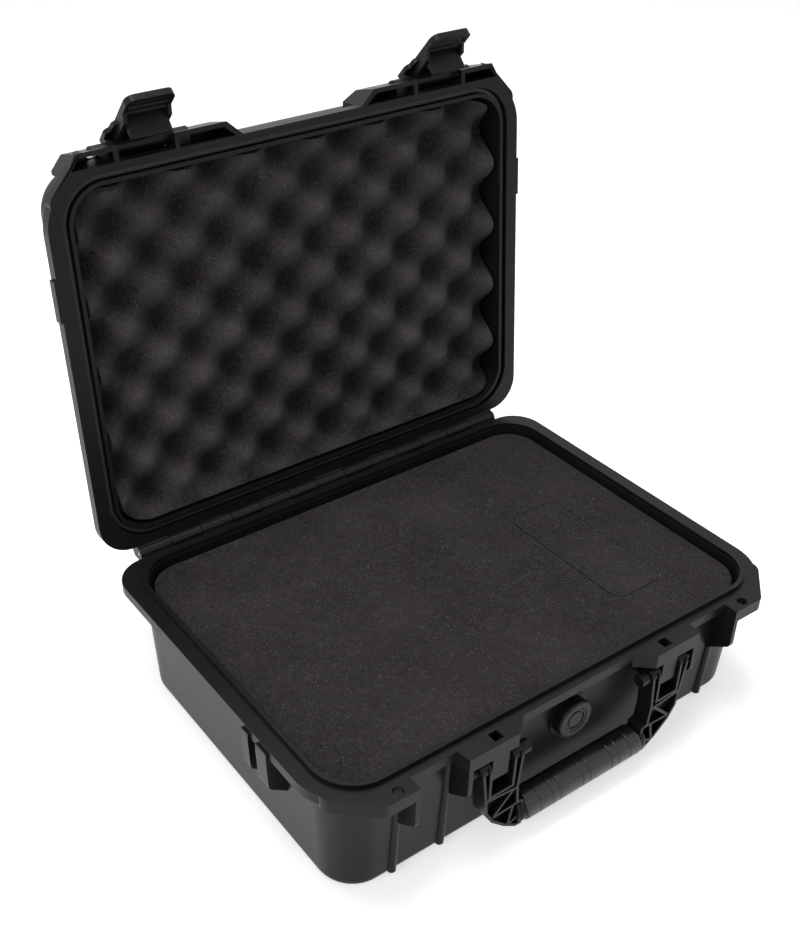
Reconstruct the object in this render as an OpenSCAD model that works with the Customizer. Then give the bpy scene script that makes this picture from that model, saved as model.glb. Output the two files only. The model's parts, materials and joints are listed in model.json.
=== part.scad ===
// Hard microphone case, shown open.
// Origin: centre of the face the case stands on. +X to the right, -Y to the front, +Z up.
// The lid and everything on it are drawn shut and then turned open about the hinge rod.

/* [Case] */
// Width over the flange
case_w = 352; // [300:1:420]
// Depth of the front band from the middle of the case
front_reach = 125; // [110:1:150]
// Depth of the rear flange edge from the middle of the case
rear_reach = 126; // [111:1:151]
// Height of the base, from the table to the parting plane
base_h = 86.5; // [70:0.5:110]
// Height of the lid above the parting plane
lid_h = 44; // [36:0.5:70]
// Wall thickness of both shells
wall = 3.5; // [3:0.1:5]
// How far the side walls lean in over the height of the base
draft = 4.5; // [1:0.5:6]
// Overhang of the flange beyond the side walls
side_overhang = 10; // [6:0.5:12]
// Overhang of the flange beyond the front wall
front_overhang = 5.5; // [5:0.5:8]
// Corner radius of the flange at the hinge
rear_r = 22; // [16:1:30]
// Corner radius of the walls at the parting plane
corner_r = 28; // [24:1:36]
// Radius along the bottom edge of the base and the top edge of the lid
edge_r = 7; // [6:1:14]
// Thickness of the base flange
flange_t = 6.5; // [5.5:0.5:9]
// Thickness of the lid flange
lid_flange_t = 7.5; // [7:0.5:10]
// Angle at which the lid stands open
open_angle = 95.5; // [60:0.5:105]
// Gap left between the two flanges when the case is shut
seam_gap = 0.3; // [0.2:0.1:0.6]

/* [Seal] */
// Width of the raised tongue round the base
tongue_t = 2.8; // [2:0.1:4]
// Height of the tongue
tongue_h = 3; // [2:0.1:4]
// Depth of the groove in the lid
groove_h = 5; // [4.5:0.1:6]
// Gap between the tongue and each side of the groove
tongue_gap = 0.6; // [0.4:0.1:1]

/* [Hinge] */
// Distance of the hinge rod behind the rear flange edge
hinge_out = 5.5; // [5:0.1:7]
// Number of knuckles, base and lid together
knuckles = 13; // [9:2:17]
// Pitch of the knuckles
knuckle_pitch = 23.5; // [18:0.5:26]
// Outer radius of a knuckle
knuckle_r = 4.5; // [4:0.1:5]
// Radius of the hinge rod
rod_r = 1.5; // [1.2:0.1:2]

/* [Latches] */
// Distance of each latch from the middle
latch_x = 108; // [100:1:115]
// Width of a latch across its shoulders
latch_w = 42; // [38:1:46]
// Width of the finger plate
plate_w = 31; // [22:1:31]
// Length from the pin to the tip
latch_len = 39.5; // [38:0.5:46]
// Height of the latch pin above the parting plane
latch_pin_up = 11.5; // [10:0.5:13]
// Radius of the latch pin
latch_pin_r = 1.6; // [1.4:0.1:2]
// Angle at which an unlatched latch stands off the case
latch_rest = 42.5; // [0:0.5:60]

/* [Handle] */
// Distance of each arm from the middle, taken at the middle of its fork
arm_x = 66.8; // [60:0.1:75]
// Depth of the handle pins below the parting plane
handle_pin_drop = 17.5; // [15:0.5:24]
// Radius of the handle pins
handle_pin_r = 2.5; // [2:0.1:3]
// Thickness of the handle frame
frame_t = 11; // [9:0.5:12]
// Thickness of the frame's ribs and rims
rib_t = 1.8; // [1.4:0.1:2.4]
// Radius of the grip
grip_r = 9.7; // [9:0.1:13]
// Length of the grip sleeve
grip_len = 94; // [86:1:96]

/* [Valve] */
// Radius of the vent cap
cap_r = 13; // [11:0.5:14]
// Depth of the vent below the parting plane
valve_drop = 28.5; // [25:0.5:34]

/* [Foam] */
// Depth of the flat foam surface below the parting plane
foam_drop = 3.9; // [2:0.1:12]
// Thickness of the floor pad
floor_pad_t = 12; // [8:1:16]
// Thickness of the middle layer
middle_foam_t = 26; // [20:1:30]
// Half pitch of the egg-crate across the case
crate_px = 24; // [20:0.5:30]
// Half pitch of the egg-crate from front to back
crate_py = 22.5; // [18:0.5:28]
// Depth of an egg-crate pit from crest to floor
crate_depth = 17; // [10:0.5:22]
// Gap round every foam piece
foam_gap = 0.4; // [0.3:0.1:1]

/* [Hidden] */
$fn = 48;

run_gap = 0.05;                              // radial clearance of every pin in its bore
eps = 0.01;

// colours
shell_col = [0.09, 0.09, 0.095];
trim_col = [0.07, 0.07, 0.075];
foam_col = [0.2, 0.19, 0.2];
steel_col = [0.6, 0.6, 0.62];
rubber_col = [0.12, 0.12, 0.12];

// walls, measured at the parting plane
hx = case_w / 2 - side_overhang;
hy = front_reach - front_overhang;
floor_t = wall;
stack_h = 1;                                 // pads on the lid that key into the base above
stack_gap = 0.2;                             // extra depth of the recesses they enter
draft_k = draft / base_h;                    // lean of the walls per mm of height

// flange
flange_r = corner_r + front_overhang + 0.9;
front_y = -front_reach;
rear_y = rear_reach;
box_y = front_y - 9.5;                       // front face of the boxes and padlock plates
box_t = 10;                                  // thickness of a handle box plate
plate_t = 8.5;                               // thickness of a padlock plate

// tongue and groove
tongue_in = wall - 0.8;                      // inner face of the tongue, in from the wall
tongue_out = tongue_in - tongue_t;
lip_t = 2.4;                                 // lip between the groove and the lid's inside

// hinge
hinge_y = rear_y + hinge_out;
hinge_z = base_h;
barrel_w = knuckles * knuckle_pitch;
knuckle_gap = 0.6;
stop_gap = 0.1;

// lid heights, drawn shut
lid_z0 = base_h + seam_gap;
lid_top = base_h + lid_h;

// latches
latch_pin_y = box_y + 3.5;
latch_pin_z = base_h + latch_pin_up;
bay_half = latch_w / 2 + 0.3;
ear_w = 10;
ear_r = 5.5;
pin_rib = 2.6;                               // outboard rib that carries the latch pin
band_gap = 0.3;                              // hook bar to the underside of the band
latch_barrel_r = 5;
latch_room_r = 8.4;                          // radius that the turning latch sweeps, and a little
shoulder_y = -4.4;                           // inner face of the shoulders, from the pin
plate_y = -8;                                // outer face of the finger plate, from the pin
cell_depth = 17.7;
cell_wall = 3;
skin = 2.4;                                  // thickness of the finger plate
rim_up = 1.6;                                // rim of the finger plate above its skin

// handle
handle_y = box_y + 3.5;
handle_pin_z = base_h - handle_pin_drop;
fork_r = frame_t / 2;                        // rounding of the fork's ends about the pin
web_t = 3;
pin_boss_r = 4.4;
notch_half = 8.2;                            // half width of a fork's slot
leg_half = 6.1;                              // half width of the box leg inside the slot
prong_w = 7.5;
prong_in = arm_x - notch_half - prong_w;     // inner face of the inner prong
prong_out = arm_x + notch_half + prong_w;
grip_drop = 49;                              // grip below the pins
grip_z = handle_pin_z - grip_drop;
notch_drop = 19;                             // bottom of the fork's slot, below the pins
gusset_x = 89.1;                             // outer gusset of a handle box, its middle
gusset_t = 3.2;
gusset_tip = 26;                             // depth of a gusset's rounded front corner
gusset_foot = 42;                            // depth at which a gusset meets the wall
pin_head = 6.5;

// half-round ribs on the front wall
rib_r = 2.8;
rib_sink = 0.5;                              // depth of a rib's axis inside the wall's face
rib_x = [92, 127];

// padlock holes
padlock_x = 135.4;
padlock_y = box_y + 5.5;
padlock_r = 3.25;

// side tabs
tabs = [[-42.5, 7], [-59.5, 11]];            // middle and width of each
tab_out = 1.6;
tab_bottom = base_h - 34.5;

// valve
valve_z = base_h - valve_drop;
valve_wall_y = -(hy - draft_k * valve_drop);
seat_y = valve_wall_y - 1.4;                 // face the sealing ring lies on
inner_y = valve_wall_y + wall;
vent_r = 6;
nut_r = 10;
nut_t = 3.4;
nut_face = inner_y + nut_r * draft_k + 0.1;   // clear of the leaning wall

// foam
foam_top_z = base_h - foam_drop;
foam_mid_z = floor_t + floor_pad_t;
foam_cut_z = foam_mid_z + middle_foam_t;

// ---------- helpers ----------

// Points along an arc about c, from angle a0 to a1
function arc(c, r, a0, a1, n = 8) =
    [for (i = [0:n]) c + r * [cos(a0 + (a1 - a0) * i / n), sin(a0 + (a1 - a0) * i / n)]];

// Half size of a leaning wall at depth d below its rim
function lean(size, d) = size - draft_k * d;

module both_sides() {
    for (side = [0, 1]) mirror([side, 0, 0]) children();
}

// Extrude a shape drawn in (y, z) from x0 to x1
module along_x(x0, x1) {
    translate([x0, 0, 0]) rotate([90, 0, 90]) linear_extrude(x1 - x0) children();
}

// Extrude a shape drawn in (x, z) from y0 to y1
module along_y(y0, y1) {
    translate([0, y1, 0]) rotate([90, 0, 0]) linear_extrude(y1 - y0) children();
}

// Round bar along x
module rod_x(x0, x1, r) {
    translate([x0, 0, 0]) rotate([0, 90, 0]) cylinder(r = r, h = x1 - x0);
}

// Rounded rectangle
module round_rect(w2, d2, r) {
    square([2 * (w2 - r), 2 * d2], center = true);
    square([2 * w2, 2 * (d2 - r)], center = true);
    for (sx = [-1, 1], sy = [-1, 1]) translate([sx * (w2 - r), sy * (d2 - r)]) circle(r);
}

// Solid tub with leaning walls and a rounded bottom edge, its rim at z = h
module tub(w2, d2, r, h, lean_in, er) {
    cx = w2 - r;
    cy = d2 - r;
    a = atan(lean_in / h);
    rb = r - lean_in;
    ex = rb - er * (1 - sin(a)) / cos(a);
    side = concat([[0, 0]], arc([ex, er], er, -90, -a), [[r, h], [0, h]]);
    translate([-cx, -cy, 0]) cube([2 * cx, 2 * cy, h]);
    for (i = [0:3])
        translate([(i == 0 || i == 3 ? 1 : -1) * cx, (i < 2 ? 1 : -1) * cy, 0])
            rotate([0, 0, 90 * i]) rotate_extrude(angle = 90) polygon(side);
    for (s = [0, 1]) mirror([s, 0, 0]) translate([cx, 0, 0]) along_y(-cy, cy) polygon(side);
    for (s = [0, 1]) mirror([0, s, 0]) translate([0, cy, 0]) along_x(-cx, cx) polygon(side);
}

// A straight rib between two points, with square ends
module rib(p, q, w) {
    d = q - p;
    translate(p) rotate(atan2(d.y, d.x)) translate([0, -w / 2]) square([norm(d), w]);
}

// Inset of a convex-or-not outline given anticlockwise: every edge moves in by w
function inset(p, w) = let (n = len(p)) [for (i = [0:n - 1])
    let (a = p[(i + n - 1) % n], b = p[i], c = p[(i + 1) % n],
         u = (b - a) / norm(b - a), v = (c - b) / norm(c - b),
         nu = [-u.y, u.x], nv = [-v.y, v.x])
    b + (nu + nv) * w / (1 + nu * nv)];

// ---------- outlines shared by base and lid ----------

// Flange with wide corners at the front and tighter ones at the hinge
module flange_plain() {
    w2 = case_w / 2;
    for (s = [-1, 1]) {
        translate([s * (w2 - flange_r), front_y + flange_r]) circle(flange_r);
        translate([s * (w2 - rear_r), rear_y - rear_r]) circle(rear_r);
    }
    polygon([[-w2 + flange_r, front_y], [w2 - flange_r, front_y], [w2, front_y + flange_r],
             [w2, rear_y - rear_r], [w2 - rear_r, rear_y], [-w2 + rear_r, rear_y],
             [-w2, rear_y - rear_r], [-w2, front_y + flange_r]]);
}

// Plate that carries the padlock hole, chamfered round the front corner
module padlock_outline(x_in) {
    polygon(concat(
        [[x_in, front_y + 4], [x_in, box_y]],
        arc([145, box_y + 6], 6, -90, -48, 4),
        arc([162.5, -108], 9, -48, 0, 4),
        [[168, -96], [150, -96]]));
}

// Plate of a handle box, with slanting ends
module box_outline() {
    polygon([[43.8, front_y + 4], [43.8, front_y], [54.7, box_y], [gusset_x + 1.6, box_y],
             [gusset_x + 3, front_y], [gusset_x + 3, front_y + 4]]);
}

// ---------- base ----------

module base_knuckle(i) {
    x0 = -barrel_w / 2 + i * knuckle_pitch + knuckle_gap / 2;
    x1 = x0 + knuckle_pitch - knuckle_gap;
    translate([0, hinge_y, hinge_z]) rod_x(x0, x1, knuckle_r);
    along_x(x0, x1) polygon([[rear_y - 2, base_h - flange_t], [rear_y - 2, base_h],
        [rear_y, base_h], [hinge_y, base_h], [hinge_y + 1, base_h - knuckle_r],
        [rear_y, base_h - flange_t - 1]]);
    // gusset from the knuckle down to the rear wall
    xm = (x0 + x1) / 2;
    along_x(xm - 1.5, xm + 1.5) polygon([[hy - 3, base_h - flange_t],
        [rear_y + 2, base_h - flange_t], [rear_y - 2, base_h - flange_t - 6],
        [hy - 3, base_h - flange_t - 26]]);
}

// Lug behind a knuckle on which the open lid comes to rest
module lid_stop(i) {
    x0 = -barrel_w / 2 + i * knuckle_pitch + knuckle_gap / 2;
    x1 = x0 + knuckle_pitch - knuckle_gap;
    lean_back = open_angle - 90;
    y_far = lid_flange_t + 1;
    top = function (y) (hinge_out - stop_gap - y * sin(lean_back)) / cos(lean_back);
    translate([0, hinge_y, hinge_z]) along_x(x0, x1) polygon([
        [0, -knuckle_r], [0, knuckle_r - 0.5], [1.2, top(1.2)], [y_far, top(y_far)],
        [y_far, 0], [y_far - 3, -knuckle_r]]);
}

// Ledge along the hinge, just under the lid's knuckles
module hinge_ledge() {
    top = base_h - knuckle_r - 0.4;
    along_x(-barrel_w / 2, barrel_w / 2) polygon([[rear_y - 2, top - 2.6], [rear_y - 2, top],
        [hinge_y - 0.8, top], [hinge_y - 0.8, top - 1.5]]);
}

module handle_box() {
    translate([0, 0, base_h - box_t]) linear_extrude(box_t) box_outline();
    // leg between the prongs, it carries the pin
    along_x(arm_x - leg_half + 0.5, arm_x + leg_half + 0.5) polygon([[-hy + 4, base_h - 1],
        [box_y, base_h - 1], [box_y, handle_pin_z - 9], [box_y + 1.5, handle_pin_z - 10.5],
        [-hy + 4, handle_pin_z - 13]]);
    // outer gusset
    along_x(gusset_x - gusset_t / 2, gusset_x + gusset_t / 2) polygon(concat(
        [[-hy + 4, base_h - 1], [box_y, base_h - 1]],
        arc([box_y + 5, base_h - gusset_tip], 5, 180, 240, 4), [[-hy + 4, base_h - gusset_foot]]));
}

module padlock_plate() {
    translate([0, 0, base_h - plate_t]) linear_extrude(plate_t) padlock_outline(124.3);
    along_x(124.3, 127.3) polygon(concat(
        [[-hy + 4, base_h - 1], [box_y, base_h - 1]],
        arc([box_y + 5, base_h - gusset_tip], 5, 180, 240, 4), [[-hy + 4, base_h - gusset_foot]]));
}

// Half-round rib down the front wall, along its lean
module front_rib(x) {
    translate([x, -hy + rib_sink, base_h]) rotate([180 + atan(draft_k), 0, 0])
        cylinder(r = rib_r, h = base_h - edge_r / 2);
}

// Side tab: gusset under the flange and a rounded nose through it
module side_tab(tab) {
    top_x = case_w / 2 + tab_out;
    translate([0, tab[0], 0]) along_y(-tab[1] / 2, tab[1] / 2) polygon(concat(
        [[hx - 3.5, base_h - 3]], [[hx - 3.5, tab_bottom - 6]],
        arc([top_x - 7, tab_bottom + 7], 6, -50, 0, 4), [[top_x, base_h - 9],
        [top_x, base_h - 3]]));
}

// Four pads near the corners, on the lid and, larger, cut into the base
module stack_pads(grow = 0) {
    for (sx = [-1, 1], sy = [-1, 1]) translate([sx * (hx - 42), sy * (hy - 34)])
        round_rect(16 + grow, 9 + grow, 4 + grow);
}

module base_shell() {
    color(shell_col) difference() {
        union() {
            tub(hx, hy, corner_r, base_h, draft, edge_r);
            translate([0, 0, base_h - flange_t]) linear_extrude(flange_t) flange_plain();
            // tongue that enters the lid's groove
            translate([0, 0, base_h]) linear_extrude(tongue_h)
                round_rect(hx - tongue_out, hy - tongue_out, corner_r - tongue_out);
            both_sides() {
                handle_box();
                padlock_plate();
                for (x = rib_x) front_rib(x);
                for (tab = tabs) side_tab(tab);
            }
            // flat seat for the vent
            translate([0, valve_wall_y - 1.4, valve_z]) rotate([-90, 0, 0])
                cylinder(r = cap_r + 2, h = 3);
            hinge_ledge();
            for (i = [0:2:knuckles - 1]) base_knuckle(i);
            for (i = [0, (knuckles - 1) / 2, knuckles - 1]) lid_stop(i);
        }
        // inside
        translate([0, 0, floor_t]) tub(hx - wall, hy - wall, corner_r - wall,
            base_h - floor_t, draft, edge_r - wall);
        translate([0, 0, -1]) linear_extrude(1 + stack_h + stack_gap) stack_pads(1);
        // inner face of the tongue, one small step out from the wall
        translate([0, 0, base_h - eps]) linear_extrude(tongue_h + 1)
            round_rect(hx - tongue_in, hy - tongue_in, corner_r - tongue_in);
        // hinge rod
        translate([0, hinge_y, hinge_z]) rod_x(-barrel_w, barrel_w, rod_r + run_gap);
        both_sides() {
            translate([0, handle_y, handle_pin_z])
                rod_x(prong_in, gusset_x + gusset_t, handle_pin_r + run_gap);
            translate([padlock_x, padlock_y, base_h - 20]) cylinder(r = padlock_r, h = 30);
            // square socket in the handle box
            translate([67 - 3.25, box_y + 3.2, base_h - box_t - 1]) cube([6.5, 6.5, 20]);
        }
        translate([0, valve_wall_y - 5, valve_z]) rotate([-90, 0, 0])
            cylinder(r = vent_r + run_gap, h = 12);
    }
}

module hinge_rod() {
    color(steel_col) translate([0, hinge_y, hinge_z])
        rod_x(-barrel_w / 2 + 0.5, barrel_w / 2 - 0.5, rod_r);
}

// ---------- lid, drawn shut ----------

// Turn what is drawn shut to where it stands with the lid open
module lid_open() {
    translate([0, hinge_y, hinge_z]) rotate([-open_angle, 0, 0])
        translate([0, -hinge_y, -hinge_z]) children();
}

module lid_knuckle(i) {
    x0 = -barrel_w / 2 + i * knuckle_pitch + knuckle_gap / 2;
    x1 = x0 + knuckle_pitch - knuckle_gap;
    translate([0, hinge_y, hinge_z]) rod_x(x0, x1, knuckle_r);
    along_x(x0, x1) polygon([[rear_y - 2, lid_z0], [rear_y - 2, lid_z0 + lid_flange_t],
        [rear_y, lid_z0 + lid_flange_t], [hinge_y + 1, base_h + knuckle_r],
        [hinge_y, lid_z0]]);
}

// Outline of a lid housing, outboard and inboard of the latch bay
module housing_out() {
    polygon([[latch_x + bay_half - 3, front_y + 5], [latch_x + bay_half - 3, box_y],
             [152.8, box_y], [160, front_y + 2.6], [160, front_y + 5]]);
}

module housing_in() {
    polygon([[43.8, front_y + 5], [43.8, front_y], [54.4, box_y],
             [latch_x - bay_half + 3, box_y], [latch_x - bay_half + 3, front_y + 5]]);
}

// Open cell inside a housing
module cell_out() {
    x0 = latch_x + bay_half;
    polygon([[x0, front_y], [x0, box_y + cell_wall], [151.2, box_y + cell_wall],
             [156.6, front_y]]);
}

module cell_in() {
    x1 = latch_x - bay_half;
    polygon([[48.6, front_y], [56.0, box_y + cell_wall], [x1, box_y + cell_wall],
             [x1, front_y]]);
}

module lid_side() {
    hz = cell_depth + cell_wall;
    difference() {
        union() {
            translate([0, 0, lid_z0]) linear_extrude(hz) housing_out();
            translate([0, 0, lid_z0]) linear_extrude(hz) housing_in();
        }
        translate([0, 0, lid_z0 - 1]) linear_extrude(cell_depth + 1) cell_out();
        translate([0, 0, lid_z0 - 1]) linear_extrude(cell_depth + 1) cell_in();
    }
    // roof of the latch bay, behind the latch
    translate([latch_x - bay_half - 1, latch_pin_y, lid_z0 + cell_depth])
        cube([2 * bay_half + 2, -hy - latch_pin_y, cell_wall]);
    // inboard block that carries the latch pin, with a rounded nose
    translate([latch_x - bay_half - ear_w, latch_pin_y, latch_pin_z]) {
        rod_x(0, ear_w, ear_r);
        translate([0, 0, -ear_r])
            cube([ear_w, -hy - latch_pin_y, lid_z0 + hz - latch_pin_z + ear_r]);
    }
    // outboard: a nose on the outside, and a rib that leaves the padlock hole free
    translate([latch_x + bay_half, latch_pin_y, latch_pin_z]) {
        difference() {
            rod_x(0, ear_w, ear_r);
            translate([-1, box_y + cell_wall - latch_pin_y, -2 * ear_r])
                cube([ear_w + 2, 4 * ear_r, 4 * ear_r]);
        }
        translate([0, box_y + 1 - latch_pin_y, -ear_r])
            cube([pin_rib, -hy - box_y - 1, lid_z0 + hz - latch_pin_z + ear_r]);
    }
}

// Room for the latch's barrel and shoulders as they turn
module latch_room() {
    translate([0, latch_pin_y, latch_pin_z])
        rod_x(latch_x - bay_half, latch_x + bay_half, latch_room_r);
    translate([latch_x - bay_half, box_y - 4, latch_pin_z])
        cube([2 * bay_half, latch_pin_y - box_y + 4, 20]);
}

module lid_shell() {
    lean_in = draft * lid_h / base_h;
    color(shell_col) lid_open() difference() {
        union() {
            translate([0, 0, lid_top]) mirror([0, 0, 1])
                tub(hx, hy, corner_r, lid_top - lid_z0, lean_in, edge_r);
            translate([0, 0, lid_z0]) linear_extrude(lid_flange_t) flange_plain();
            translate([0, 0, lid_top - 1]) linear_extrude(1 + stack_h) stack_pads();
            both_sides() {
                difference() {
                    lid_side();
                    latch_room();
                }
                // tab over the base's side tabs
                translate([case_w / 2 - 3, tabs[1][0] - tabs[1][1] / 2, lid_z0])
                    cube([3 + tab_out, tabs[0][0] - tabs[1][0] + 9, lid_flange_t - 1]);
            }
            for (i = [1:2:knuckles - 1]) lid_knuckle(i);
        }
        // groove for the tongue and the seal
        translate([0, 0, lid_z0 - 1]) linear_extrude(groove_h + 1) difference() {
            round_rect(hx - tongue_out + tongue_gap, hy - tongue_out + tongue_gap,
                corner_r - tongue_out + tongue_gap);
            round_rect(hx - tongue_in - tongue_gap, hy - tongue_in - tongue_gap,
                corner_r - tongue_in - tongue_gap);
        }
        // inside, within the lip
        in = tongue_in + tongue_gap + lip_t;
        translate([0, 0, lid_top - wall]) mirror([0, 0, 1])
            tub(hx - in, hy - in, corner_r - in, lid_top - wall - lid_z0 + eps, lean_in,
                edge_r - wall);
        translate([0, hinge_y, hinge_z]) rod_x(-barrel_w, barrel_w, rod_r + run_gap);
        both_sides() {
            translate([0, latch_pin_y, latch_pin_z])
                rod_x(latch_x - bay_half - ear_w - 1, latch_x + bay_half + pin_rib + 0.2,
                    latch_pin_r + run_gap);
            translate([padlock_x, padlock_y, lid_z0 + cell_depth - 0.5])
                cylinder(r = padlock_r, h = cell_wall + 2);
        }
    }
}

module lid_seal() {
    mid = (tongue_in + tongue_out) / 2;
    half = 1.6;
    top = lid_z0 + groove_h;
    color(rubber_col) lid_open() translate([0, 0, base_h + tongue_h + 0.3])
        linear_extrude(top - base_h - tongue_h - 0.3) difference() {
            round_rect(hx - mid + half, hy - mid + half, corner_r - mid + half);
            round_rect(hx - mid - half, hy - mid - half, corner_r - mid - half);
        }
}

// ---------- latches ----------

// Outline of the latch seen from the front, pin at the origin, tip down
module latch_face() {
    sh = latch_w / 2;
    pl = plate_w / 2;
    polygon(concat(
        [[-sh, 3], [-sh, -3]], arc([-sh + 4, -6], 4, 180, 250, 4),
        arc([-pl - 3.5, -18], 3.5, 70, 0, 5),
        arc([-pl + 5, -latch_len + 5], 5, 180, 270, 5),
        arc([pl - 5, -latch_len + 5], 5, 270, 360, 5),
        arc([pl + 3.5, -18], 3.5, 180, 110, 5),
        arc([sh - 4, -6], 4, -70, 0, 4), [[sh, -3], [sh, 3]]));
}

// Latch drawn shut, about its own pin; looking along +Y the hook points away
module latch_shape() {
    hook_z = -(latch_pin_z - (base_h - flange_t) + band_gap);
    rim_y = plate_y + skin + rim_up;
    difference() {
        union() {
            // outer skin, then the deeper tray of the finger plate
            along_y(plate_y + 0.6, shoulder_y) latch_face();
            intersection() {
                along_y(plate_y, 0) latch_face();
                along_x(-plate_w / 2, plate_w / 2) polygon([[plate_y, -latch_len],
                    [plate_y, 0], [0, 0], [0, hook_z - 5], [rim_y, hook_z - 9],
                    [rim_y, -latch_len]]);
            }
            rod_x(-latch_w / 2, latch_w / 2, latch_barrel_r);
        }
        // recess behind the finger plate
        translate([-plate_w / 2 + skin, plate_y + skin, -latch_len + skin + 0.6])
            cube([plate_w - 2 * skin, 20, latch_len - skin - 0.6 + shoulder_y - 1]);
        rod_x(-latch_w, latch_w, latch_pin_r + run_gap);
    }
    // finger ridges inside the tip
    for (i = [0:2]) translate([-plate_w / 2 + skin - eps, 0, -latch_len + 5 + 5 * i])
        along_x(0, plate_w - 2 * skin + 2 * eps)
            polygon([[plate_y + skin - eps, -2], [plate_y + skin - eps, 2],
                [plate_y + skin + 1.5, 1.2], [plate_y + skin + 1.5, -1.2]]);
    // hook bar that catches under the band
    translate([-plate_w / 2 + skin - eps, 0, 0]) along_x(0, plate_w - 2 * skin + 2 * eps)
        polygon([[plate_y + skin - eps, hook_z], [8.2, hook_z], [8.2, hook_z - 1.2],
            [6.8, hook_z - 2.6], [plate_y + skin - eps, hook_z - 4]]);
}

module latch_at(side) {
    lid_open() translate([side * latch_x, latch_pin_y, latch_pin_z])
        rotate([-latch_rest, 0, 0]) latch_shape();
}

module latch_pin_at(side) {
    lid_open() mirror([side < 0 ? 1 : 0, 0, 0]) translate([latch_x, latch_pin_y, latch_pin_z])
        rod_x(-bay_half - ear_w + 0.8, bay_half + pin_rib - 0.3, latch_pin_r);
}

module latch_left() color(trim_col) latch_at(-1);
module latch_right() color(trim_col) latch_at(1);
module latch_pin_left() color(steel_col) latch_pin_at(-1);
module latch_pin_right() color(steel_col) latch_pin_at(1);

// ---------- handle ----------

// Outline of the right arm about the pin's height, anticlockwise from the grip
arm_pts = [[48, -58], [53, -57.8], [62.5, -51.5], [72.5, -42], [77.8, -33], [79.3, -19],
    [prong_out, fork_r], [arm_x + notch_half, fork_r], [arm_x + notch_half - 0.4, -notch_drop],
    [arm_x - notch_half + 0.4, -notch_drop], [arm_x - notch_half, fork_r],
    [prong_in, fork_r], [53.4, -23], [52.4, -36], [48, -38]];

module arm_ribs() {
    rib([80, -21.4], [53, -24.2], rib_t);
    rib([57.4, -24.5], [71.3, -38], rib_t);
    rib([71.3, -38.4], [51, -37.5], rib_t);
    rib([56.2, -37], [59.4, -53], rib_t);
    rib([59.4, -52.6], [46, -47.5], rib_t);
}

module arm() {
    intersection() {
        union() {
            // rim and ribs at full thickness
            along_y(handle_y - fork_r, handle_y + fork_r) translate([0, handle_pin_z]) {
                difference() {
                    polygon(arm_pts);
                    polygon(inset(arm_pts, rib_t));
                }
                intersection() {
                    polygon(arm_pts);
                    arm_ribs();
                }
            }
            // web
            along_y(handle_y - web_t / 2, handle_y + web_t / 2)
                translate([0, handle_pin_z]) polygon(arm_pts);
            // bosses round the pin, inside the prongs
            translate([0, handle_y, handle_pin_z]) {
                rod_x(prong_in + 0.5, arm_x - notch_half, pin_boss_r);
                rod_x(arm_x + notch_half, prong_out - 0.8, pin_boss_r);
            }
        }
        // fork ends rounded about the pin
        along_x(40, 100) {
            translate([handle_y - fork_r, 0]) square([frame_t, handle_pin_z]);
            translate([handle_y, handle_pin_z]) circle(fork_r);
        }
    }
    // round end against the grip
    translate([0, handle_y, grip_z]) rotate([0, 90, 0]) rotate_extrude() polygon(concat(
        [[0, grip_len / 2 + 0.3], [grip_r - 1, grip_len / 2 + 0.3]],
        arc([grip_r - 4, grip_len / 2 + 2.3], 3, 0, 80, 5), [[0, grip_len / 2 + 6]]));
}

core_r = 5.5;

module handle_frame() {
    color(shell_col) difference() {
        union() {
            both_sides() arm();
            translate([0, handle_y, grip_z]) rod_x(-grip_len / 2 - 1, grip_len / 2 + 1, core_r);
        }
        both_sides() translate([0, handle_y, handle_pin_z])
            rod_x(40, 100, handle_pin_r + run_gap);
    }
}

// Sleeve with pairs of ring grooves, a little slimmer towards its ends
module handle_grip() {
    h2 = grip_len / 2;
    groove_x = [3, 21, 27, 37];
    groove_w = 0.8;
    module groove(x) {
        translate([grip_r, x]) rotate(45) square(groove_w, center = true);
    }
    color(trim_col) translate([0, handle_y, grip_z]) rotate([0, 90, 0]) rotate_extrude()
        difference() {
            polygon(concat([[core_r + run_gap, -h2]],
                arc([grip_r - 2, -h2 + 2], 2, -90, 0, 4),
                arc([grip_r - 2, h2 - 2], 2, 0, 90, 4), [[core_r + run_gap, h2]]));
            for (x = groove_x, s = [-1, 1]) groove(s * x);
        }
}

module handle_pin_at() {
    x_out = gusset_x + gusset_t / 2;
    translate([0, handle_y, handle_pin_z]) {
        rod_x(prong_in - pin_head, x_out, handle_pin_r);
        rod_x(prong_in - pin_head, prong_in - 0.4, handle_pin_r + 1.6);
    }
}

module handle_pin_left() color(trim_col) mirror([1, 0, 0]) handle_pin_at();
module handle_pin_right() color(trim_col) handle_pin_at();

// ---------- pressure valve ----------

module at_vent(y) {
    translate([0, y, valve_z]) rotate([90, 0, 0]) children();
}

// Threaded body: a stem through the wall and a flange outside it
module valve_body() {
    color(trim_col) difference() {
        union() {
            at_vent(inner_y + 4.6) cylinder(r = vent_r, h = inner_y + 4.6 - seat_y + 3.2);
            at_vent(seat_y - 1.2) cylinder(r = cap_r - 2.5, h = 2);
        }
        at_vent(inner_y + 6) cylinder(r = vent_r - 2, h = 30);
    }
}

// Sealing ring between the body's flange and the seat
module valve_ring() {
    color(rubber_col) at_vent(seat_y) difference() {
        cylinder(r = cap_r - 3.5, h = 1.2);
        translate([0, 0, -1]) cylinder(r = vent_r + 0.4, h = 4);
    }
}

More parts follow.
